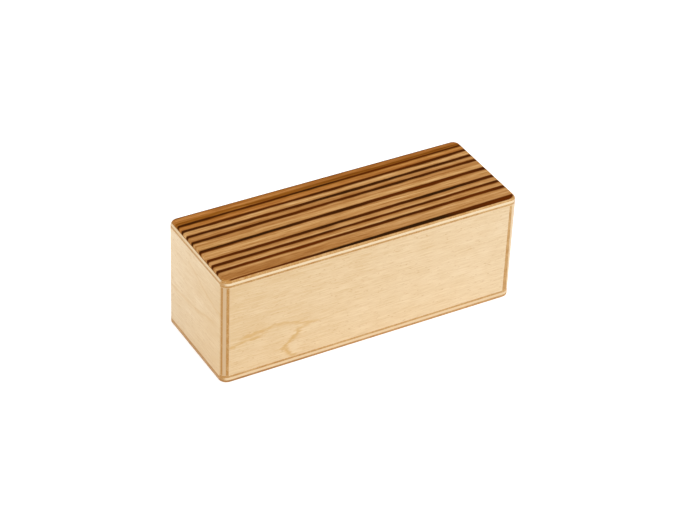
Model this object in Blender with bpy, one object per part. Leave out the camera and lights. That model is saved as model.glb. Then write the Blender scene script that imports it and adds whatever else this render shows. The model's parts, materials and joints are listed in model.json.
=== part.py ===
"""A box shaker: a glued plywood box with a striped top veneer and a charge of loose steel shot."""
import math

import bmesh
import bpy
from mathutils import Matrix

# Outside of the finished box, in metres
LENGTH = 0.160
WIDTH = 0.058
HEIGHT = 0.059

# Sheet stock; the end panels are sanded flush after gluing, the left one further than the right
LONG_PANEL_THICKNESS = 0.004
LEFT_END_THICKNESS = 0.0033
RIGHT_END_THICKNESS = 0.0047
BOTTOM_PLATE_THICKNESS = 0.0042
TOP_PLATE_THICKNESS = 0.0034
VENEER_THICKNESS = 0.0006

# Thickness of a glued joint
GLUE_LINE = 0.0001

# Rounding sanded on after gluing
CORNER_RADIUS = 0.0042
TOP_EDGE_RADIUS = 0.0025
BOTTOM_EDGE_RADIUS = 0.0008
CORNER_STEPS = 6
TOP_EDGE_STEPS = 4
BOTTOM_EDGE_STEPS = 2

# Waste that each sheet has outside the finished box until it is trimmed flush
TRIM_ALLOWANCE = 0.002

# Loose shot, one pellet to a lane across the box
PELLET_DIAMETER = 0.004
PELLET_CLEARANCE = 0.0003
LANE_CLEARANCE = 0.0014
PELLET_MERIDIANS = 12
PELLET_RINGS = 8

# Share of the free travel over which the pellets lie scattered
SCATTER = 0.9
GOLDEN_STEP = (math.sqrt(5) - 1) / 2

# Faces that meet at more than this angle keep a crisp edge
SHARP_ANGLE = math.radians(35)

# Points closer in height than this lie on one level
SAME_LEVEL = 1e-6

# Places worked out from the sizes above
HALF_LENGTH = LENGTH / 2
HALF_WIDTH = WIDTH / 2
WALL_FOOT = BOTTOM_PLATE_THICKNESS + GLUE_LINE
TOP_PLATE_TOP = HEIGHT - VENEER_THICKNESS - GLUE_LINE
TOP_PLATE_FOOT = TOP_PLATE_TOP - TOP_PLATE_THICKNESS
WALL_TOP = TOP_PLATE_FOOT - GLUE_LINE
CHAMBER_LEFT = LEFT_END_THICKNESS - HALF_LENGTH
CHAMBER_RIGHT = HALF_LENGTH - RIGHT_END_THICKNESS
CHAMBER_WIDTH = WIDTH - 2 * LONG_PANEL_THICKNESS
PELLET_RADIUS = PELLET_DIAMETER / 2
LANE_RUN = CHAMBER_RIGHT - CHAMBER_LEFT - 2 * PELLET_CLEARANCE
PELLET_COUNT = math.floor(LANE_RUN / (PELLET_DIAMETER + LANE_CLEARANCE))
PELLET_TRAVEL = CHAMBER_WIDTH - PELLET_DIAMETER - 2 * PELLET_CLEARANCE
PELLET_HEIGHT = BOTTOM_PLATE_THICKNESS + PELLET_CLEARANCE + PELLET_RADIUS


def new_collection(name):
    collection = bpy.data.collections.new(name)
    bpy.context.scene.collection.children.link(collection)
    return collection


def new_material(name, colour, roughness, metallic=0.0):
    material = bpy.data.materials.new(name)
    material.use_nodes = True
    shader = material.node_tree.nodes["Principled BSDF"]
    shader.inputs["Base Color"].default_value = (*colour, 1.0)
    shader.inputs["Roughness"].default_value = roughness
    shader.inputs["Metallic"].default_value = metallic
    material.diffuse_color = (*colour, 1.0)
    return material


def new_mesh(name, bm):
    mesh = bpy.data.meshes.new(name)
    bm.to_mesh(mesh)
    bm.free()
    mesh.shade_smooth()
    mesh.set_sharp_from_angle(angle=SHARP_ANGLE)
    return mesh


def box(size):
    bm = bmesh.new()
    bmesh.ops.create_cube(bm, size=1.0, matrix=Matrix.Diagonal((*size, 1.0)))
    return bm


def round_edges(bm, edges, radius, steps):
    bmesh.ops.bevel(bm, geom=edges, offset=radius, segments=steps, profile=0.5, affect='EDGES')


def level_edges(bm, height):
    return [edge for edge in bm.edges if all(abs(v.co.z - height) < SAME_LEVEL for v in edge.verts)]


def add_envelope(collection):
    """The outside of the sanded box, which trims every sheet."""
    bm = box((LENGTH, WIDTH, HEIGHT))
    uprights = [edge for edge in bm.edges if abs(edge.verts[0].co.z - edge.verts[1].co.z) > HEIGHT / 2]
    round_edges(bm, uprights, CORNER_RADIUS, CORNER_STEPS)
    round_edges(bm, level_edges(bm, HEIGHT / 2), TOP_EDGE_RADIUS, TOP_EDGE_STEPS)
    round_edges(bm, level_edges(bm, -HEIGHT / 2), BOTTOM_EDGE_RADIUS, BOTTOM_EDGE_STEPS)
    envelope = bpy.data.objects.new("sanded_envelope", new_mesh("sanded_envelope", bm))
    envelope.location.z = HEIGHT / 2
    envelope.hide_render = True
    envelope.display_type = 'WIRE'
    collection.objects.link(envelope)
    return envelope


def add_sheet(name, low, high, material, envelope, collection):
    """One sheet, cut between two corners and trimmed flush with the outside of the box."""
    size = [b - a for a, b in zip(low, high)]
    mesh = new_mesh(name, box(size))
    mesh.materials.append(material)
    sheet = bpy.data.objects.new(name, mesh)
    sheet.location = [(a + b) / 2 for a, b in zip(low, high)]
    trim = sheet.modifiers.new("trim_flush", 'BOOLEAN')
    trim.operation = 'INTERSECT'
    trim.solver = 'EXACT'
    trim.object = envelope
    collection.objects.link(sheet)


def add_plates(birch, zebrano, envelope, collection):
    """The plates that close the box above and below, and the veneer on top."""
    reach_x = HALF_LENGTH + TRIM_ALLOWANCE
    reach_y = HALF_WIDTH + TRIM_ALLOWANCE
    layers = {
        "bottom_plate": (-TRIM_ALLOWANCE, BOTTOM_PLATE_THICKNESS, birch),
        "top_plate": (TOP_PLATE_FOOT, TOP_PLATE_TOP, birch),
        "top_veneer": (HEIGHT - VENEER_THICKNESS, HEIGHT + TRIM_ALLOWANCE, zebrano),
    }
    for name, (foot, top, material) in layers.items():
        low = (-reach_x, -reach_y, foot)
        high = (reach_x, reach_y, top)
        add_sheet(name, low, high, material, envelope, collection)


def add_end_panels(birch, envelope, collection):
    """The short walls, which run the full width of the box."""
    reach_y = HALF_WIDTH + TRIM_ALLOWANCE
    outer = HALF_LENGTH + TRIM_ALLOWANCE
    panels = (("left_end_panel", -outer, CHAMBER_LEFT), ("right_end_panel", CHAMBER_RIGHT, outer))
    for name, x_low, x_high in panels:
        low = (x_low, -reach_y, WALL_FOOT)
        high = (x_high, reach_y, WALL_TOP)
        add_sheet(name, low, high, birch, envelope, collection)


def add_long_panels(birch, envelope, collection):
    """The long walls, which fit between the end panels."""
    x_low = CHAMBER_LEFT + GLUE_LINE
    x_high = CHAMBER_RIGHT - GLUE_LINE
    inner = HALF_WIDTH - LONG_PANEL_THICKNESS
    outer = HALF_WIDTH + TRIM_ALLOWANCE
    for name, y_low, y_high in (("front_panel", -outer, -inner), ("back_panel", inner, outer)):
        low = (x_low, y_low, WALL_FOOT)
        high = (x_high, y_high, WALL_TOP)
        add_sheet(name, low, high, birch, envelope, collection)


def add_pellets(steel, collection):
    """The loose shot on the floor of the chamber, each pellet free to run from wall to wall."""
    bm = bmesh.new()
    bmesh.ops.create_uvsphere(bm, u_segments=PELLET_MERIDIANS, v_segments=PELLET_RINGS, radius=PELLET_RADIUS)
    mesh = new_mesh("pellet", bm)
    mesh.materials.append(steel)
    lane = LANE_RUN / PELLET_COUNT
    for index in range(PELLET_COUNT):
        place = (index + 1) * GOLDEN_STEP % 1.0 - 0.5
        pellet = bpy.data.objects.new(f"pellet_{index + 1:02d}", mesh)
        pellet.location.x = CHAMBER_LEFT + PELLET_CLEARANCE + (index + 0.5) * lane
        pellet.location.y = place * SCATTER * PELLET_TRAVEL
        pellet.location.z = PELLET_HEIGHT
        collection.objects.link(pellet)


def main():
    for old in list(bpy.data.objects):
        bpy.data.objects.remove(old, do_unlink=True)
    shaker = new_collection("wooden_shaker")
    cutters = new_collection("cutters")
    birch = new_material("birch_plywood", (0.82, 0.61, 0.36), 0.55)
    zebrano = new_material("zebrano_veneer", (0.40, 0.18, 0.06), 0.5)
    steel = new_material("steel_shot", (0.56, 0.56, 0.57), 0.28, metallic=1.0)
    envelope = add_envelope(cutters)
    add_plates(birch, zebrano, envelope, shaker)
    add_end_panels(birch, envelope, shaker)
    add_long_panels(birch, envelope, shaker)
    add_pellets(steel, shaker)


main()
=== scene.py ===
"""The looks of a wooden box shaker: birch plywood, a zebrano top and steel shot, in soft studio light."""
import json
import math

import bmesh
import bpy
from mathutils import Matrix, Vector, noise

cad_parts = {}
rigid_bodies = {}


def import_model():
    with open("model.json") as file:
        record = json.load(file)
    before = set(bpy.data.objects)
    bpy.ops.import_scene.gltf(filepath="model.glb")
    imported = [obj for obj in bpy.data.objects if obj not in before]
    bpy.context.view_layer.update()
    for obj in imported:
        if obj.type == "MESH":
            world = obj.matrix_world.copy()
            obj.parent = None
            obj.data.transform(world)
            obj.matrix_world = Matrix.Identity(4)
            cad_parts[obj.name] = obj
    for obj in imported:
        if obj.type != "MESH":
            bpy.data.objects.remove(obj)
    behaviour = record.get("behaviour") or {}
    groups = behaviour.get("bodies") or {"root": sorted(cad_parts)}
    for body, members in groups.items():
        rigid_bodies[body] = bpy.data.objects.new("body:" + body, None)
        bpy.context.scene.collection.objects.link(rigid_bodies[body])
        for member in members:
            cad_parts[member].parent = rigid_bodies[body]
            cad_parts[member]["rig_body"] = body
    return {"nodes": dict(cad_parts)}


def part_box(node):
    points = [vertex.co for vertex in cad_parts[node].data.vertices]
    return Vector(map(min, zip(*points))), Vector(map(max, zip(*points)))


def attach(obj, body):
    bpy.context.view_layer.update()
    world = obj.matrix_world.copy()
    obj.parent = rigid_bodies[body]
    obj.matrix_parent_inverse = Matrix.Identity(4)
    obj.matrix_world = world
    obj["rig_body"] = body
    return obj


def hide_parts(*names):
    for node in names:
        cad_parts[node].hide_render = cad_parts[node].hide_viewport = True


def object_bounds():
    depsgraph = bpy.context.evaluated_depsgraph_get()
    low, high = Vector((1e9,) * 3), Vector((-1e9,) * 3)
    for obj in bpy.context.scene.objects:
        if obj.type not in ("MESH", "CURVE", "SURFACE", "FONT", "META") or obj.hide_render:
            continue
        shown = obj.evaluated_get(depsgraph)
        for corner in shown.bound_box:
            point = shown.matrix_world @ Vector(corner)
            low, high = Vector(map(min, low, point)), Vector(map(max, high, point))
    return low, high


MM = 0.001
WHITE = (1.0, 1.0, 1.0, 1.0)

# Camera: the point it looks at, in metres, and how it stands to that point
CAMERA_AIM = (0.009509, 0.009099, 0.017914)
CAMERA_DISTANCE = 1.174887
CAMERA_AZIMUTH = math.radians(-30.8751)
CAMERA_ELEVATION = math.radians(35.3125)
CAMERA_ROLL = math.radians(2.5731)
CAMERA_LENS = 122.8845
SENSOR_WIDTH = 36.0

# Light: the dome all round, then each soft lamp as place, size and level on a surface that faces it
DOME_LEVEL = 0.5
LAMPS = {
    "key_softbox": ((0.75, -0.95, 1.50), 1.2, 0.46),
    "side_softbox": ((-1.60, -0.35, 1.20), 1.2, 0.30),
}
LAMP_AIM = (0.0, 0.0, 0.03)

# Floor: half its width in metres, its shade, and how far it is lifted to white where it is seen
FLOOR_REACH = 4.0
FLOOR_WHITE = 0.9
FLOOR_LIFT = 0.55
FLOOR_ROUGHNESS = 0.8

# Rounding sanded on the box, in metres
CORNER_RADIUS = 0.0042
TOP_EDGE_RADIUS = 0.0025
BOTTOM_EDGE_RADIUS = 0.0008
CORNER_STEPS = 20
TOP_EDGE_STEPS = 12
BOTTOM_EDGE_STEPS = 6

# Edges of each sheet at the joints, in metres
GLUE_LINE = 0.0001
EASED_EDGE = 0.00002
EASED_STEPS = 2
SHARP_ANGLE = math.radians(35)
SAME_LEVEL = 1e-6

# Shot: how finely a pellet is divided, the depth of its casting flaws as a share of its radius, and the noise
# that places them
PELLET_DIVISIONS = 4
FLAW_DEPTH = 0.02
FLAW_SCALE = 1.6
FLAW_FALL = 1.0
FLAW_GAP = 2.0
FLAW_LAYERS = 3

# The sides on which a sheet is sawn out of the box: axis, and whether the sheet lies below or above the cut
SAWN_SIDES = {
    "bottom_plate": ("z below",),
    "top_plate": ("z above", "z below"),
    "top_veneer": ("z above",),
    "left_end_panel": ("x below", "z above", "z below"),
    "right_end_panel": ("x above", "z above", "z below"),
    "front_panel": ("x above", "x below", "y below", "z above", "z below"),
    "back_panel": ("x above", "x below", "y above", "z above", "z below"),
}

# Direction of the grain
ALONG_X = (1.0, 0.0, 0.0)
ALONG_Y = (0.0, 1.0, 0.0)
ALONG_Z = (0.0, 0.0, 1.0)

# How squarely a surface faces along the grain where end grain starts to show and where it shows fully
PANEL_CUT = (0.22, 0.52)
LEFT_FACE_CUT = (0.20, 0.49)
PLATE_FACE_CUT = (0.10, 0.35)
PLATE_CORE_CUT = (0.35, 0.85)

# Lines between plies, in millimetres: their waviness and half the width over which they blend, and the
# strength of the core's own colour
RAGGED_SIZE = 0.7
RAGGED_DEPTH = 0.16
PLY_BLUR = 0.06
CORE_STRENGTH = 0.85

# Where along the box the plies of a plate creep, in millimetres
CREEP_RUN = (-20.0, 80.0)

# Birch grain: the share to which each kind of mark shortens lengths along the grain
FIBRE_SQUEEZE = 0.045
CLOUD_SQUEEZE = 0.4
DASH_SQUEEZE = 0.11
FLECK_SQUEEZE = 0.28

# Birch grain: the values of noise between which a mark appears
DASH_RANGE = (0.5, 0.75)
FLECK_RANGE = (0.64, 0.76)
SPECKLE_RANGE = (0.45, 0.75)

# Birch grain: how strongly each kind of mark changes the colour
CLOUD_STRENGTH = 0.5
BROAD_STRENGTH = 0.6
STREAK_STRENGTH = 2.2
DASH_STRENGTH = 0.3
FLECK_STRENGTH = 0.5
SPECKLE_STRENGTH = 0.5
FIGURE_STRENGTH = 0.8

# Birch surface: its gloss, how much of that end grain loses, and its relief in millimetres
BIRCH_ROUGHNESS = 0.45
BIRCH_GLOSS = 0.5
GLOSS_LOST = 0.35
STREAK_RELIEF = 0.6
SPECKLE_RELIEF = 0.4
BIRCH_RELIEF = 0.03

# Dark rim at the foot, partly the end grain's own brown and partly painted shade where the box meets the
# floor,
# growing towards the left: half the width of its upper border and the run over which it darkens to the left,
# in millimetres, how level a surface has to lie to be spared, and how dark the rim is
RIM_BLUR = 0.1
RIM_SHADE_RUN = (30.0, -75.0)
RIM_STEEP = (0.98, 0.9)
RIM_DARK = 0.15
RIM_SHADE_TO_LEFT = 0.4
RIM_STRENGTH = 0.85

# Stain under the veneer, in millimetres: how far in from the left end it soaks deeper, and where along the
# box it bleeds in a thin line
SOAK_RUN = (2.5, 1.0)
BLEED_START = (-10.0, 15.0)
BLEED_END = (62.0, 48.0)
BLEED_DEPTH = 0.1
STAIN_BLUR = 0.05
STAIN_STRENGTH = 0.95

# Figure of the birch, in millimetres: golden veins as places along the panel and heights, and for a vein that
# crosses the grain as heights and places
FLAME_LOBES = (
    ((-77, 19.8), (-72, 21.2), (-66, 21.8), (-60, 22.0)),
    ((-70, 23.4), (-66, 24.3), (-61, 24.6), (-56, 24.8)),
)
FLAME_LINES = (
    ((-60, 24.4), (-56, 25.1), (-52, 26.0), (-46, 25.0), (-39, 22.9), (-31, 21.2)),
    ((-42, 18.6), (-39, 19.9), (-35.5, 20.9), (-30, 21.4)),
)
FLAME_SIDE = (
    (4, -41.0), (7, -45.0), (9, -46.8), (11, -47.2), (13, -45.3), (15, -42.6), (17.5, -40.4), (20, -39.6),
)
BACK_VEINS = (
    ((-66, 12.0), (-40, 19.5), (-8, 24.0), (22, 22.5), (58, 13.0)),
    ((-36, 9.0), (-14, 14.5), (6, 15.5), (34, 8.5)),
    ((-72, 45.0), (-44, 41.0), (-12, 43.5), (30, 47.0), (70, 44.0)),
)
LEFT_VEINS = (
    ((-27, 38.8), (-17, 40.3), (-10, 42.5), (-2, 45.8), (6, 48.5)),
    ((-20, 30.5), (-13, 29.0), (-2, 26.0), (12, 24.6), (26, 23.6)),
)
RIGHT_VEINS = (
    ((-26, 19.0), (-12, 24.5), (4, 25.5), (25, 17.0)),
    ((-25, 44.0), (-8, 40.5), (10, 42.0), (26, 47.0)),
)

# How far each kind of vein is feathered, its width in millimetres, and its strength
LINE_VEIN = (3.0, 1.4, 0.75)
LOBE_VEIN = (5.0, 1.7, 0.95)
SIDE_VEIN = (7.0, 2.8, 1.0)
FAINT_VEIN = (2.0, 1.4, 0.45)

# Noise that feathers the veins and blots the flame, and the length over which a vein ends, in millimetres
FEATHER_SQUEEZE = 0.2
FEATHER_SIZE = 0.9
BLOT_SQUEEZE = 0.25
BLOT_SIZE = 2.0
BLOT_RANGE = (0.0, 0.42)
VEIN_FADE = 2.0

# Dark stripes of the zebrano from the back to the front: where each lies across the box at the left end, in
# the middle and at the right end, and its width at the two ends, in millimetres
STRIPE_REACH = 75.0
STRIPES = (
    (20.5, 21.5, 22.7, 1.7, 1.5),
    (15.9, 16.5, 18.0, 1.8, 2.1),
    (10.7, 11.5, 12.8, 2.1, 2.1),
    (5.5, 6.9, 8.1, 1.9, 2.1),
    (-2.7, -1.2, -0.2, 2.1, 2.4),
    (-10.7, -9.4, -7.7, 2.1, 2.2),
    (-15.2, -14.2, -12.8, 2.1, 1.8),
    (-20.2, -19.2, -18.0, 2.0, 2.2),
    (-27.8, -27.7, -27.2, 0.45, 3.2),
)

# Where along the box the foremost stripe starts, and the border that parts it from the others, in millimetres
FRONT_STRIPE_START = (-77.5, -75.0)
FRONT_STRIPE_SIDE = (-26.0, -25.0)

# How far a stripe leans towards the front for each millimetre of depth below a first skin, and where across
# the box the lean dies out
STRIPE_LEAN = 2.5
LEAN_BELOW = 0.2
UPRIGHT_FROM = -26.0
LEANING_FROM = -21.0

# Waves of the stripes, the same all through the veneer: how each is stretched, how far it swings a stripe,
# and how far the slow one swells it, in millimetres
SLOW_STRETCH = (0.35, 1.0, 0.0)
QUICK_STRETCH = (0.36, 1.0, 0.0)
SLOW_SWING = 0.8
QUICK_SWING = 0.5
STRIPE_SWELL = 0.8

# Borders of a stripe, in millimetres: how much narrower its dark core is, its blur, and the fringe around it
STRIPE_TRIM = 0.3
STRIPE_BLUR = 0.35
FRINGE_SHIFT = 0.1
FRINGE_FROM = 0.9
FRINGE_FULL = 0.2
FRINGE_STRENGTH = 0.7

# Black stretches of the stripes: the values of noise between which they turn from brown to black, and what is
# added to the noise for the stripes in the middle and for the foremost stripe, each with its place
BLACK_RANGE = (0.32, 0.86)
BLACK_SQUEEZE = 0.08
MIDDLE_SIDE = (18.0, 9.0)
MIDDLE_BLACKER = 0.09
CHARRED_SIDE = (-23.0, -26.0)
CHARRED_START = (-38.0, -14.0)
CHARRED_END = (46.0, 34.0)
CHARRED_BLACKER = 0.28

# Tones of the wood between the stripes, from the back edge of the box to its front edge
BANDS = (
    ("olive", "red", "red", "olive", "rust"),
    ("rust", "red", "red"),
    ("pale", "pale", "tan"),
    ("tan", "tan", "brown", "umber"),
    ("tan", "tan", "brown", "pale", "pale", "umber"),
    ("umber", "tan", "pale", "tan", "tan", "tan"),
    ("tan", "tan", "pale"),
    ("brown", "tan", "pale"),
    ("tan", "tan", "brown", "brown", "brown"),
    ("tan",),
)

# Places where a band turns darker or lighter along the box: the band, the shares of its width between which
# it does, where along the box that starts and where it is complete, and how strongly, with darker below 0
PATCH_BLUR = 0.15
PATCHES = (
    (0, 0.0, 0.9, -60.0, 20.0, -0.75),
    (1, 0.1, 0.48, -10.0, 55.0, 1.1),
    (1, 0.5, 1.0, 0.0, 55.0, -0.6),
    (4, 0.65, 0.95, 10.0, -60.0, -0.6),
    (8, 0.4, 1.0, -25.0, -60.0, -0.5),
    (8, 0.3, 0.9, -20.0, 30.0, 0.9),
)

# Streaks of the zebrano: size in millimetres, share to which it is squeezed along the grain, and strength
ZEBRANO_STREAKS = ((1.4, 0.035, 0.7), (0.6, 0.05, 0.85))
RUSSET_RANGE = (0.5, 0.66)
CREAM_RANGE = (0.5, 0.34)

# Pores of the zebrano, and its surface, with the relief in millimetres
PORE_SQUEEZE = 0.09
PORE_SIZE = 0.25
PORE_RANGE = (0.62, 0.76)
PORE_STRENGTH = 0.4
ZEBRANO_RELIEF = 0.04
ZEBRANO_ROUGHNESS = 0.5
ZEBRANO_GLOSS = 0.0

# The veneer paled towards the top plate's end grain where it faces the right end, along its right edge, and
# worn at its corners, where it is sanded through to a rounder outline of that radius in millimetres
RIGHT_FACING = (0.35, 0.5)
RIGHT_EDGE_PALING = 0.45
VENEER_CORNER = 4.5
VENEER_CORNER_BLUR = 0.3
CORNER_WEAR = 0.8

# Skin of the shot, with patches of grime, and its relief in millimetres
GRIME_RANGE = (0.4, 0.7)
GRIME_STRENGTH = 0.4
STEEL_ROUGHNESS = 0.22
GRIME_ROUGHNESS = 0.16
STEEL_RELIEF = 0.02
STEEL_GLOSS = 0.5


def srgb(red, green, blue):
    """A colour given as on a screen, for a shader."""
    shares = (red / 255, green / 255, blue / 255)
    linear = [share / 12.92 if share < 0.04045 else ((share + 0.055) / 1.055) ** 2.4 for share in shares]
    return (*linear, 1.0)


BIRCH_PALE = srgb(246, 220, 180)
BIRCH_TAN = srgb(228, 194, 143)
BIRCH_VEIN = srgb(216, 170, 96)
BIRCH_FLECK = srgb(207, 162, 100)
# Core of the top plate: its own pale birch, lightened further as a painted highlight along the rounded top
# edge
CORE_PALE_AND_HIGHLIGHT = srgb(246, 222, 183)
CORE_CREAM = srgb(238, 209, 166)
# Core of the end and long panels: a greyer ply, darkened further as painted shade where it shows at corners
# facing away from the light
CORE_GREY_AND_SHADE = srgb(212, 178, 134)
END_PALE = srgb(224, 184, 128)
END_GOLD = srgb(194, 141, 76)
END_DARK = srgb(152, 98, 42)
STAIN = srgb(156, 98, 38)
ZEBRANO_TONES = {
    "olive": srgb(142, 82, 18),
    "rust": srgb(168, 105, 42),
    "red": srgb(186, 121, 58),
    "umber": srgb(172, 114, 58),
    "brown": srgb(180, 123, 66),
    "tan": srgb(195, 140, 81),
    "pale": srgb(209, 157, 96),
}
ZEBRANO_DARK = srgb(97, 41, 5)
ZEBRANO_BLACK = srgb(48, 26, 8)
ZEBRANO_FRINGE = srgb(126, 71, 18)
STEEL = srgb(196, 196, 198)
STEEL_DULL = srgb(150, 148, 146)

# Shares by which a streak of the zebrano changes the colour under it
RUSSET_TINT = (0.75, 0.66, 0.53, 1.0)
CREAM_TINT = (1.19, 1.34, 1.60, 1.0)


class Signal:
    """An output of a material's node graph that takes part in arithmetic."""

    def __init__(self, graph, socket):
        self.graph = graph
        self.socket = socket

    def __add__(self, other):
        return self.graph.math('ADD', self, other)

    def __sub__(self, other):
        return self.graph.math('SUBTRACT', self, other)

    def __rsub__(self, other):
        return self.graph.math('SUBTRACT', other, self)

    def __mul__(self, other):
        return self.graph.math('MULTIPLY', self, other)

    def __abs__(self):
        return self.graph.math('ABSOLUTE', self)

    __radd__ = __add__
    __rmul__ = __mul__


class Graph:
    """The node graph of one material, with short names for the nodes that the finishes need."""

    def __init__(self, name):
        self.material = bpy.data.materials.new(name)
        self.material.use_nodes = True
        self.tree = self.material.node_tree
        self.shader = self.tree.nodes["Principled BSDF"]
        coordinates = self.tree.nodes.new('ShaderNodeTexCoord')
        self.place = self.scaled(Signal(self, coordinates.outputs["Object"]), 1 / MM)
        self.normal = Signal(self, coordinates.outputs["Normal"])
        self.x, self.y, self.z = self.split(self.place)

    def feed(self, socket, value):
        if isinstance(value, Signal):
            self.tree.links.new(value.socket, socket)
        else:
            socket.default_value = value

    def node(self, kind, inputs, output=0, **settings):
        node = self.tree.nodes.new(kind)
        for key, value in settings.items():
            setattr(node, key, value)
        for key, value in inputs.items():
            self.feed(node.inputs[key], value)
        return Signal(self, node.outputs[output])

    def split(self, vector):
        node = self.tree.nodes.new('ShaderNodeSeparateXYZ')
        self.feed(node.inputs[0], vector)
        return [Signal(self, socket) for socket in node.outputs]

    def math(self, operation, *values):
        return self.node('ShaderNodeMath', dict(enumerate(values)), operation=operation)

    def largest(self, *values):
        total = values[0]
        for value in values[1:]:
            total = self.math('MAXIMUM', total, value)
        return total

    def rise(self, value, start, end):
        """0 before start and 1 after end, or the other way round if start is the larger."""
        inputs = {"Value": value, "From Min": start, "From Max": end}
        return self.node('ShaderNodeMapRange', inputs, interpolation_type='SMOOTHSTEP')

    def between(self, value, start, end, blur):
        """1 between start and end and 0 outside, with a soft border at both."""
        return self.rise(value, start - blur, start + blur) * self.rise(value, end + blur, end - blur)

    def curve(self, value, points):
        """A smooth curve through points, each a place and a height."""
        places, heights = zip(*points)
        first, last = min(places), max(places)
        low, high = min(heights), max(heights)
        node = self.tree.nodes.new('ShaderNodeFloatCurve')
        line = node.mapping.curves[0].points
        while len(line) < len(points):
            line.new(0.0, 0.0)
        for dot, (place, height) in zip(line, points):
            dot.location = ((place - first) / (last - first), (height - low) / (high - low))
        node.mapping.update()
        self.feed(node.inputs["Value"], (value - first) * (1 / (last - first)))
        return Signal(self, node.outputs[0]) * (high - low) + low

    def scaled(self, vector, factor):
        return self.node('ShaderNodeVectorMath', {0: vector, "Scale": factor}, operation='SCALE')

    def stretched(self, vector, factors):
        return self.node('ShaderNodeVectorMath', {0: vector, 1: factors}, operation='MULTIPLY')

    def along_grain(self, grain, squeeze):
        """The place, with lengths along the grain cut down to a share, so that noise runs with the grain."""
        return self.stretched(self.place, squeezed(grain, squeeze))

    def along(self, vector, axis):
        """How far a vector reaches along an axis."""
        return self.node('ShaderNodeVectorMath', {0: vector, 1: axis}, 1, operation='DOT_PRODUCT')

    def facing(self, axis):
        """1 where the surface faces along an axis, either way, and 0 where it runs with it."""
        return abs(self.along(self.normal, axis))

    def vector(self, x, y, z):
        return self.node('ShaderNodeCombineXYZ', {0: x, 1: y, 2: z})

    def either(self, factor, first, second):
        """A vector between two."""
        return self.node('ShaderNodeMix', {0: factor, 4: first, 5: second}, 1, data_type='VECTOR')

    def blend(self, factor, first, second):
        """A colour between two."""
        return self.node('ShaderNodeMix', {0: factor, 6: first, 7: second}, 2, data_type='RGBA')

    def tint(self, factor, colour, shares):
        """A colour taken some way towards its product with three shares."""
        inputs = {0: factor, 6: colour, 7: shares}
        return self.node('ShaderNodeMix', inputs, 2, data_type='RGBA', blend_type='MULTIPLY')

    def noise(self, vector, size, detail=2.0, roughness=0.5):
        """Cloudy noise from 0 to 1 with clouds of that size in millimetres."""
        inputs = {"Vector": vector, "Scale": 1 / size, "Detail": detail, "Roughness": roughness}
        return self.node('ShaderNodeTexNoise', inputs)

    def surface(self, colour, height, depth, roughness, specular):
        """Sets the colour, a relief of that depth in millimetres, and the gloss."""
        bump = self.node('ShaderNodeBump', {"Height": height, "Distance": depth * MM})
        self.feed(self.shader.inputs["Base Color"], colour)
        self.feed(self.shader.inputs["Normal"], bump)
        self.feed(self.shader.inputs["Roughness"], roughness)
        self.feed(self.shader.inputs["Specular IOR Level"], specular)
        return self.material


def squeezed(grain, share):
    """Factors that cut lengths along the grain down to a share."""
    return tuple(share if along else 1.0 for along in grain)


def vein(graph, along, across, points, width):
    """A soft line of the wood's figure that fades out at its ends."""
    near = graph.rise(abs(across - graph.curve(along, points)), width, 0.0)
    return near * graph.between(along, points[0][0], points[-1][0], VEIN_FADE)


def front_figure(graph):
    """The flame at the left end of the front, feathered along the grain."""
    feather = graph.noise(graph.along_grain(ALONG_X, FEATHER_SQUEEZE), FEATHER_SIZE) - 0.5
    parts = []
    for lines, (reach, width, strength) in ((FLAME_LINES, LINE_VEIN), (FLAME_LOBES, LOBE_VEIN)):
        parts += [vein(graph, graph.x, graph.z + feather * reach, line, width) * strength for line in lines]
    reach, width, strength = SIDE_VEIN
    parts.append(vein(graph, graph.z, graph.x + feather * reach, FLAME_SIDE, width) * strength)
    blots = graph.noise(graph.along_grain(ALONG_X, BLOT_SQUEEZE), BLOT_SIZE, detail=3.0)
    return graph.largest(*parts) * graph.rise(blots, *BLOT_RANGE)


def faint_figure(graph, along, lines):
    """Faint long veins over a panel, feathered along the grain."""
    reach, width, strength = FAINT_VEIN
    feather = graph.noise(graph.vector(along * FEATHER_SQUEEZE, 0.0, graph.z), FEATHER_SIZE) - 0.5
    veins = [vein(graph, along, graph.z + feather * reach, line, width) for line in lines]
    return graph.largest(*veins) * strength


def back_figure(graph):
    return faint_figure(graph, graph.x, BACK_VEINS)


def left_figure(graph):
    return faint_figure(graph, graph.y, LEFT_VEINS)


def right_figure(graph):
    return faint_figure(graph, graph.y, RIGHT_VEINS)


def birch_face(graph, level, face_grain, figure):
    """The face of a birch ply, pale where level is 0 and tan where it is 1, with flecks and veins."""
    face = graph.blend(level, BIRCH_PALE, BIRCH_TAN)
    fleck = graph.noise(graph.along_grain(face_grain, FLECK_SQUEEZE), size=0.6, detail=1.0)
    face = graph.blend(graph.rise(fleck, *FLECK_RANGE) * FLECK_STRENGTH, face, BIRCH_FLECK)
    if figure is None:
        return face
    return graph.blend(figure(graph) * FIGURE_STRENGTH, face, BIRCH_VEIN)


def birch_cut(graph, level, speckle):
    """End grain of birch, pale where level is 0 and golden where it is 1, with dark speckles."""
    cut = graph.blend(level, END_PALE, END_GOLD)
    return graph.blend(graph.rise(speckle, *SPECKLE_RANGE) * SPECKLE_STRENGTH, cut, END_DARK)


def rimmed_and_shaded(graph, colour, cut, height):
    """The colour with a dark rim up to a height, on steep surfaces alone: partly the end grain's own brown
    and partly painted shade near the floor, deeper to the left.
    """
    rim = graph.rise(height, RIM_BLUR, -RIM_BLUR) * graph.rise(graph.facing(ALONG_Z), *RIM_STEEP)
    # Painted shade where the box meets the floor, growing towards the left end, on top of the end grain's own
    # brown
    rim_brown_and_shade = graph.rise(graph.x, *RIM_SHADE_RUN) * RIM_SHADE_TO_LEFT + RIM_DARK
    return graph.blend(rim * RIM_STRENGTH, colour, graph.blend(rim_brown_and_shade, cut, END_DARK))


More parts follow.
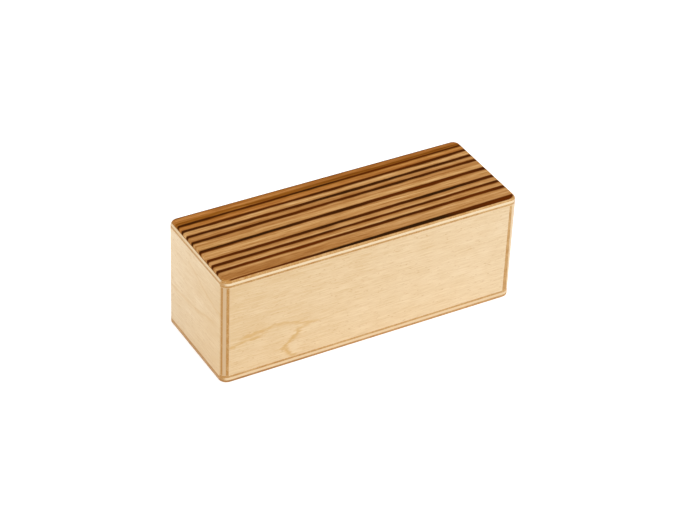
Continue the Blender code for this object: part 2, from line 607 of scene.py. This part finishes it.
def stain_below(graph, depth, left, reach):
    """1 where the veneer above colours the sheet: deep at its left end, and in a thin line further along."""
    soak = graph.rise(graph.x, *(left + run for run in SOAK_RUN)) * reach
    bleed = graph.rise(graph.x, *BLEED_START) * graph.rise(graph.x, *BLEED_END) * BLEED_DEPTH
    return graph.rise(depth - soak - bleed, STAIN_BLUR, -STAIN_BLUR)


def add_plywood(node, side, plies, face_grain, core_grain, core_colour, tone, tone_and_light_drift, cut_tone,
                face_cut=PANEL_CUT, core_cut=PANEL_CUT, core_end=1.0, taper=0.0, creep=0.0, shy=0.0,
                rim=None, stain=None, figure=None):
    """Birch plywood of three plies, seen on its face and on its edges.

    Side is the outer face of the sheet, and plies the thickness of its outer ply and of its core in
    millimetres. Tone runs from 0, pale, to 1, tan, in the middle of the sheet, and tone_and_light_drift is
    its change for each millimetre along each axis, partly the wood's own variation and partly painted light:
    paler towards where the sheet catches more light. Cut_tone is the same for end grain, face_cut and
    core_cut say how squarely a surface has to face along the grain to show it, and core_end is how strongly
    the core shows it. Taper is how much further in the plies lie for each millimetre up, creep how far they
    move outwards on the way to the right end, or inwards below 0, and shy how far short of the sheet's inner
    side its end grain ends. Rim is the height of a dark rim at the foot, partly the end grain's own brown and
    partly painted shade where the box meets the floor, stain how far the veneer above colours the left end,
    and figure draws the veins of the face.
    """
    graph = Graph(f"birch_{node}")
    low, high = (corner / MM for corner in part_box(node))
    middle = (low + high) / 2
    axis, end = side.split()
    index = "xyz".index(axis)
    here = (graph.x, graph.y, graph.z)[index]
    ragged = (graph.noise(graph.place, RAGGED_SIZE) - 0.5) * RAGGED_DEPTH
    depth = (here - low[index] if end == "low" else high[index] - here) + ragged
    inside = depth - (graph.z - middle.z) * taper + graph.rise(graph.x, *CREEP_RUN) * creep
    core = graph.between(inside, plies[0], plies[0] + plies[1], PLY_BLUR)

    face_open = graph.rise(graph.facing(face_grain), *face_cut)
    core_open = graph.rise(graph.facing(core_grain), *core_cut) * core_end
    end_grain = face_open + core * (core_open - face_open)
    if shy:
        limit = high[index] - low[index] - shy
        end_grain = end_grain * graph.rise(inside, limit + PLY_BLUR, limit - PLY_BLUR)

    face_fibre = squeezed(face_grain, FIBRE_SQUEEZE)
    core_fibre = squeezed(core_grain, FIBRE_SQUEEZE)
    fibres = graph.stretched(graph.place, graph.either(core, face_fibre, core_fibre))
    cloud = graph.noise(graph.along_grain(face_grain, CLOUD_SQUEEZE), size=6.0) - 0.5
    broad = graph.noise(fibres, size=3.0, detail=3.0) - 0.5
    streak = graph.noise(fibres, size=0.5, detail=3.0, roughness=0.6) - 0.5
    dash = graph.noise(graph.along_grain(face_grain, DASH_SQUEEZE), size=0.55)
    speckle = graph.noise(fibres, size=0.22, detail=3.0, roughness=0.65)
    marks = cloud * CLOUD_STRENGTH + broad * BROAD_STRENGTH + streak * STREAK_STRENGTH
    marks = marks + graph.rise(dash, *DASH_RANGE) * DASH_STRENGTH
    # Tone gradient across the sheet, partly painted light: paler towards where the sheet catches more light
    level = graph.along(graph.place, tone_and_light_drift) + (tone - middle.dot(Vector(tone_and_light_drift))) + marks

    flank = graph.blend(core * CORE_STRENGTH, birch_face(graph, level, face_grain, figure), core_colour)
    cut = birch_cut(graph, level + cloud + (cut_tone - tone), speckle)
    colour = graph.blend(end_grain, flank, cut)
    gloss = BIRCH_GLOSS - end_grain * GLOSS_LOST
    if rim is not None:
        # Dark rim at the foot: partly the end grain's brown, partly painted shade where the box meets the
        # floor
        colour = rimmed_and_shaded(graph, colour, cut, graph.z + ragged - rim)
    if stain is not None:
        stained = stain_below(graph, depth, low.x, stain)
        colour = graph.blend(stained * STAIN_STRENGTH, colour, STAIN)
        gloss = gloss * (1.0 - stained)
    relief = streak * STREAK_RELIEF + speckle * SPECKLE_RELIEF
    return graph.surface(colour, relief, BIRCH_RELIEF, BIRCH_ROUGHNESS, gloss)


def stripe_course(graph, left, middle, right, left_width, right_width):
    """The middle line of a stripe and its width, as both change along the box."""
    slope = (right - left) / 2 / STRIPE_REACH
    bow = ((right + left) / 2 - middle) / STRIPE_REACH ** 2
    centre = middle + graph.x * slope + graph.x * graph.x * bow
    width = (left_width + right_width) / 2 + graph.x * ((right_width - left_width) / 2 / STRIPE_REACH)
    return centre, width


def banded_colour(graph, across, borders):
    """The tones of the bands, each running into the next on its way from one border to another."""
    places = []
    colours = []
    for behind, ahead, tones in zip(borders, borders[1:], BANDS):
        step = (ahead - behind) * (1 / len(tones))
        places += [behind + step * (index + 0.5) for index in range(len(tones))]
        colours += [ZEBRANO_TONES[tone] for tone in tones]
    mixed = colours[0]
    for last, place, colour in zip(places, places[1:], colours[1:]):
        mixed = graph.blend(graph.rise(across, last, place), mixed, colour)
    return mixed


def patched_colour(graph, colour, across, borders):
    """The colour of the bands with the places where they turn darker or lighter."""
    for band, start, end, begin, complete, strength in PATCHES:
        share = graph.math('DIVIDE', across - borders[band], borders[band + 1] - borders[band])
        within = graph.between(share, start, end, PATCH_BLUR)
        reach = within * graph.rise(graph.x, begin, complete) * abs(strength)
        colour = graph.tint(reach, colour, CREAM_TINT if strength > 0.0 else RUSSET_TINT)
    return colour


def streaked_colour(graph, colour, across, depth):
    """The colour of the bands with fine russet and cream streaks."""
    for size, squeeze, strength in ZEBRANO_STREAKS:
        streak = graph.noise(graph.vector(graph.x * squeeze, across, depth), size, detail=3.0, roughness=0.6)
        colour = graph.tint(graph.rise(streak, *RUSSET_RANGE) * strength, colour, RUSSET_TINT)
        colour = graph.tint(graph.rise(streak, *CREAM_RANGE) * strength, colour, CREAM_TINT)
    return colour


def stripe_colour(graph):
    """The brown of the stripes with their black stretches."""
    charred = graph.rise(graph.x, *CHARRED_START) * graph.rise(graph.x, *CHARRED_END)
    charred = charred * graph.rise(graph.y, *CHARRED_SIDE) * CHARRED_BLACKER
    middle = graph.rise(abs(graph.y), *MIDDLE_SIDE) * MIDDLE_BLACKER
    stretches = graph.noise(graph.along_grain(ALONG_X, BLACK_SQUEEZE), size=4.0)
    black = graph.rise(stretches + charred + middle, *BLACK_RANGE)
    return graph.blend(black, ZEBRANO_DARK, ZEBRANO_BLACK)


def corner_wear(graph, low, high):
    """1 outside the rounded outline of a veneer, where its corners are sanded through."""
    middle = (low + high) / 2
    reach = (high - low) / 2 - Vector((VENEER_CORNER,) * 3)
    beyond_x = graph.math('MAXIMUM', abs(graph.x - middle.x) - reach.x, 0.0)
    beyond_y = graph.math('MAXIMUM', abs(graph.y - middle.y) - reach.y, 0.0)
    radial = graph.math('SQRT', beyond_x * beyond_x + beyond_y * beyond_y)
    return graph.rise(radial, VENEER_CORNER, VENEER_CORNER + VENEER_CORNER_BLUR)


def add_zebrano(node):
    """Zebrano veneer whose dark stripes are leaning sheets that run through its thickness."""
    graph = Graph(f"zebrano_{node}")
    low, high = (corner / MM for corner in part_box(node))
    depth = high.z - graph.z
    below = graph.math('MAXIMUM', depth - LEAN_BELOW, 0.0)
    lean = below * STRIPE_LEAN * graph.rise(graph.y, UPRIGHT_FROM, LEANING_FROM)
    slow = graph.noise(graph.stretched(graph.place, SLOW_STRETCH), size=10.0) - 0.5
    quick = graph.noise(graph.stretched(graph.place, QUICK_STRETCH), size=2.0, detail=3.0) - 0.5
    across = graph.y + lean + slow * SLOW_SWING + quick * QUICK_SWING

    borders = [high.y]
    dark = 0.0
    fringe = 0.0
    for stripe in STRIPES:
        centre, width = stripe_course(graph, *stripe)
        borders.append(centre)
        offset = across - centre
        inner = width * 0.5 + slow * STRIPE_SWELL - STRIPE_TRIM
        dark = graph.largest(graph.rise(abs(offset), inner + STRIPE_BLUR, inner), dark)
        around = graph.rise(abs(offset + FRINGE_SHIFT), inner + FRINGE_FROM, inner + FRINGE_FULL)
        fringe = graph.largest(around, fringe)
    borders.append(low.y)
    started = graph.largest(graph.rise(graph.x, *FRONT_STRIPE_START), graph.rise(graph.y, *FRONT_STRIPE_SIDE))

    colour = banded_colour(graph, across, borders)
    colour = patched_colour(graph, colour, across, borders)
    colour = streaked_colour(graph, colour, across, depth)
    colour = graph.blend(fringe * started * FRINGE_STRENGTH, colour, ZEBRANO_FRINGE)
    colour = graph.blend(dark * started, colour, stripe_colour(graph))
    pores = graph.noise(graph.vector(graph.x * PORE_SQUEEZE, across, depth), PORE_SIZE)
    colour = graph.blend(graph.rise(pores, *PORE_RANGE) * PORE_STRENGTH, colour, ZEBRANO_BLACK)
    # Paler where the veneer faces the right end, along its right edge
    facing_right = graph.rise(graph.along(graph.normal, ALONG_X), *RIGHT_FACING)
    colour = graph.blend(facing_right * RIGHT_EDGE_PALING, colour, END_PALE)
    colour = graph.blend(corner_wear(graph, low, high) * CORNER_WEAR, colour, END_GOLD)
    return graph.surface(colour, 1.0 - pores, ZEBRANO_RELIEF, ZEBRANO_ROUGHNESS, ZEBRANO_GLOSS)


def add_steel(name):
    """Steel shot with a faintly pitted skin."""
    graph = Graph(name)
    graph.feed(graph.shader.inputs["Metallic"], 1.0)
    pits = graph.noise(graph.place, size=0.33, detail=3.0)
    grime = graph.rise(graph.noise(graph.place, size=1.1), *GRIME_RANGE)
    colour = graph.blend(grime * GRIME_STRENGTH, STEEL, STEEL_DULL)
    roughness = STEEL_ROUGHNESS + grime * GRIME_ROUGHNESS
    return graph.surface(colour, pits, STEEL_RELIEF, roughness, STEEL_GLOSS)


def level_edges(shape, height):
    return [edge for edge in shape.edges if all(abs(vert.co.z - height) < SAME_LEVEL for vert in edge.verts)]


def round_edges(shape, edges, radius, steps):
    bmesh.ops.bevel(shape, geom=edges, offset=radius, segments=steps, profile=0.5, affect='EDGES')


def sanded_box(low, high):
    """The outside of the whole box, with its corners and edges rounded."""
    size = high - low
    shape = bmesh.new()
    middle = Matrix.Translation((low + high) / 2)
    bmesh.ops.create_cube(shape, size=1.0, matrix=middle @ Matrix.Diagonal((*size, 1.0)))
    uprights = [edge for edge in shape.edges if abs(edge.verts[0].co.z - edge.verts[1].co.z) > size.z / 2]
    round_edges(shape, uprights, CORNER_RADIUS, CORNER_STEPS)
    round_edges(shape, level_edges(shape, high.z), TOP_EDGE_RADIUS, TOP_EDGE_STEPS)
    round_edges(shape, level_edges(shape, low.z), BOTTOM_EDGE_RADIUS, BOTTOM_EDGE_STEPS)
    return shape


def saw(shape, axis, place, side):
    """Keeps what lies on one side of a plane across an axis, and closes the cut."""
    normal = Vector((0.0, 0.0, 0.0))
    normal["xyz".index(axis)] = 1.0 if side == "below" else -1.0
    whole = shape.verts[:] + shape.edges[:] + shape.faces[:]
    cut = bmesh.ops.bisect_plane(shape, geom=whole, plane_co=place, plane_no=normal, clear_outer=True)
    rim = [item for item in cut["geom_cut"] if isinstance(item, bmesh.types.BMEdge)]
    bmesh.ops.contextual_create(shape, geom=rim)


def add_piece(node, shape, material, body):
    """Puts a finished piece in the place of its node."""
    name = f"{node}_finished"
    bmesh.ops.recalc_face_normals(shape, faces=shape.faces)
    mesh = bpy.data.meshes.new(name)
    shape.to_mesh(mesh)
    shape.free()
    mesh.shade_smooth()
    mesh.materials.append(material)
    piece = bpy.data.objects.new(name, mesh)
    bpy.context.scene.collection.objects.link(piece)
    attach(piece, body)
    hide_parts(node)
    return piece


def add_sheet(node, box, material):
    """One sheet of the box, sawn out of its sanded outside, with the joint edges eased."""
    shape = sanded_box(*box)
    low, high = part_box(node)
    closure = Vector((GLUE_LINE / 2,) * 3)
    for sawn in SAWN_SIDES[node]:
        axis, side = sawn.split()
        saw(shape, axis, high + closure if side == "below" else low - closure, side)
    piece = add_piece(node, shape, material, "case")
    ease = piece.modifiers.new("eased_edges", 'BEVEL')
    ease.width = EASED_EDGE
    ease.segments = EASED_STEPS
    ease.limit_method = 'ANGLE'
    ease.angle_limit = SHARP_ANGLE
    piece.modifiers.new("even_shading", 'WEIGHTED_NORMAL')


def add_pellet(node, body, material):
    """One pellet of shot, a little uneven from its casting."""
    low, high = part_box(node)
    centre = (low + high) / 2
    radius = (high.z - low.z) / 2
    shape = bmesh.new()
    bmesh.ops.create_icosphere(shape, subdivisions=PELLET_DIVISIONS, radius=1.0)
    for vert in shape.verts:
        flaw = noise.fractal(vert.co * FLAW_SCALE + centre / MM, FLAW_FALL, FLAW_GAP, FLAW_LAYERS)
        vert.co = centre + vert.co.normalized() * radius * (1.0 - FLAW_DEPTH * min(1.0, abs(flaw)))
    add_piece(node, shape, material, body)


def add_case(box):
    """The glued wooden box."""
    # The tone gradients of the sheets below are partly painted light, each sheet paler towards where it
    # catches more light
    plate = dict(
        face_grain=ALONG_Y, core_grain=ALONG_X, tone_and_light_drift=(-0.002, 0.0, 0.0),
        face_cut=PLATE_FACE_CUT, core_cut=PLATE_CORE_CUT)
    end_panel = dict(face_grain=ALONG_Y, core_grain=ALONG_Z)
    long_panel = dict(
        plies=(1.2, 1.4), face_grain=ALONG_X, core_grain=ALONG_Z, core_colour=CORE_GREY_AND_SHADE, cut_tone=0.6)
    finishes = {
        # The bottom plate's rim at the foot is partly painted shade
        "bottom_plate": dict(
            plate, side="z low", plies=(1.55, 1.45), core_colour=CORE_CREAM, tone=0.5, cut_tone=0.5,
            creep=-0.18, shy=0.14, rim=1.5),
        # The top plate's pale core carries a painted highlight along the rounded top edge
        "top_plate": dict(
            plate, side="z high", plies=(1.05, 1.2), core_colour=CORE_PALE_AND_HIGHLIGHT, tone=0.2, cut_tone=0.55,
            core_end=0.94, creep=0.18, shy=0.08, stain=0.15),
        "left_end_panel": dict(
            end_panel, side="x low", plies=(0.83, 1.28), core_colour=CORE_GREY_AND_SHADE, tone=0.25, cut_tone=0.62,
            tone_and_light_drift=(-0.2, -0.014, -0.003), face_cut=LEFT_FACE_CUT, figure=left_figure),
        "right_end_panel": dict(
            end_panel, side="x high", plies=(1.2, 1.73), core_colour=CORE_CREAM, tone=0.4, cut_tone=0.75,
            tone_and_light_drift=(0.0, 0.008, -0.004), taper=0.02, figure=right_figure),
        "front_panel": dict(
            long_panel, side="y low", tone=0.5, tone_and_light_drift=(-0.0035, 0.0, 0.003), figure=front_figure),
        "back_panel": dict(
            long_panel, side="y high", tone=0.42, tone_and_light_drift=(0.003, 0.0, -0.002), figure=back_figure),
    }
    for node, finish in finishes.items():
        add_sheet(node, box, add_plywood(node, **finish))
    add_sheet("top_veneer", box, add_zebrano("top_veneer"))


def add_shot(frame):
    """The loose shot inside the box."""
    steel = add_steel("steel_shot_skin")
    for node in sorted(frame["nodes"]):
        if node.startswith("pellet_"):
            add_pellet(node, frame["nodes"][node]["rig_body"], steel)


def seen_directly(tree):
    """1 for what the camera sees, also in a reflection or through glass, and 0 for light on the object."""
    path = tree.nodes.new('ShaderNodeLightPath')
    total = path.outputs["Is Camera Ray"]
    for ray in ("Is Glossy Ray", "Is Transmission Ray"):
        either = tree.nodes.new('ShaderNodeMath')
        either.operation = 'MAXIMUM'
        tree.links.new(total, either.inputs[0])
        tree.links.new(path.outputs[ray], either.inputs[1])
        total = either.outputs[0]
    return total


def add_floor():
    """A plain white floor that keeps the shadow."""
    shape = bmesh.new()
    bmesh.ops.create_grid(shape, x_segments=1, y_segments=1, size=FLOOR_REACH)
    mesh = bpy.data.meshes.new("floor")
    shape.to_mesh(mesh)
    shape.free()
    floor = bpy.data.objects.new("floor", mesh)
    bpy.context.scene.collection.objects.link(floor)
    material = bpy.data.materials.new("white_floor")
    material.use_nodes = True
    tree = material.node_tree
    shader = tree.nodes["Principled BSDF"]
    shader.inputs["Base Color"].default_value = (FLOOR_WHITE, FLOOR_WHITE, FLOOR_WHITE, 1.0)
    shader.inputs["Roughness"].default_value = FLOOR_ROUGHNESS
    shader.inputs["Specular IOR Level"].default_value = 0.0
    shader.inputs["Emission Color"].default_value = WHITE
    lift = tree.nodes.new('ShaderNodeMath')
    lift.operation = 'MULTIPLY'
    tree.links.new(seen_directly(tree), lift.inputs[0])
    lift.inputs[1].default_value = FLOOR_LIFT
    tree.links.new(lift.outputs[0], shader.inputs["Emission Strength"])
    mesh.materials.append(material)


def add_dome():
    """Even light from all round, white where it is seen."""
    world = bpy.data.worlds.new("studio")
    bpy.context.scene.world = world
    world.use_nodes = True
    tree = world.node_tree
    level = tree.nodes.new('ShaderNodeMapRange')
    tree.links.new(seen_directly(tree), level.inputs["Value"])
    level.inputs["To Min"].default_value = DOME_LEVEL
    level.inputs["To Max"].default_value = 1.0
    background = tree.nodes["Background"]
    background.inputs["Color"].default_value = WHITE
    tree.links.new(level.outputs[0], background.inputs["Strength"])


def add_lamps():
    for name, (place, size, level) in LAMPS.items():
        away = Vector(place) - Vector(LAMP_AIM)
        lamp = bpy.data.lights.new(name, 'AREA')
        lamp.shape = 'DISK'
        lamp.size = size
        lamp.energy = level * math.pi ** 2 * away.length_squared
        holder = bpy.data.objects.new(name, lamp)
        holder.location = place
        holder.rotation_euler = away.to_track_quat('Z', 'Y').to_euler()
        bpy.context.scene.collection.objects.link(holder)


def add_camera():
    camera = bpy.data.cameras.new("camera")
    camera.sensor_width = SENSOR_WIDTH
    camera.lens = CAMERA_LENS
    turn = Matrix.Rotation(CAMERA_AZIMUTH, 4, 'Z')
    tilt = Matrix.Rotation(math.pi / 2 - CAMERA_ELEVATION, 4, 'X')
    roll = Matrix.Rotation(CAMERA_ROLL, 4, 'Z')
    back_off = Matrix.Translation((0.0, 0.0, CAMERA_DISTANCE))
    holder = bpy.data.objects.new("camera", camera)
    holder.matrix_world = Matrix.Translation(CAMERA_AIM) @ turn @ tilt @ roll @ back_off
    bpy.context.scene.collection.objects.link(holder)
    bpy.context.scene.camera = holder


def main():
    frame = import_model()
    cad_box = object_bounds()
    bpy.context.scene.view_settings.view_transform = 'Standard'
    add_case(cad_box)
    add_shot(frame)
    add_floor()
    add_dome()
    add_lamps()
    add_camera()


main()
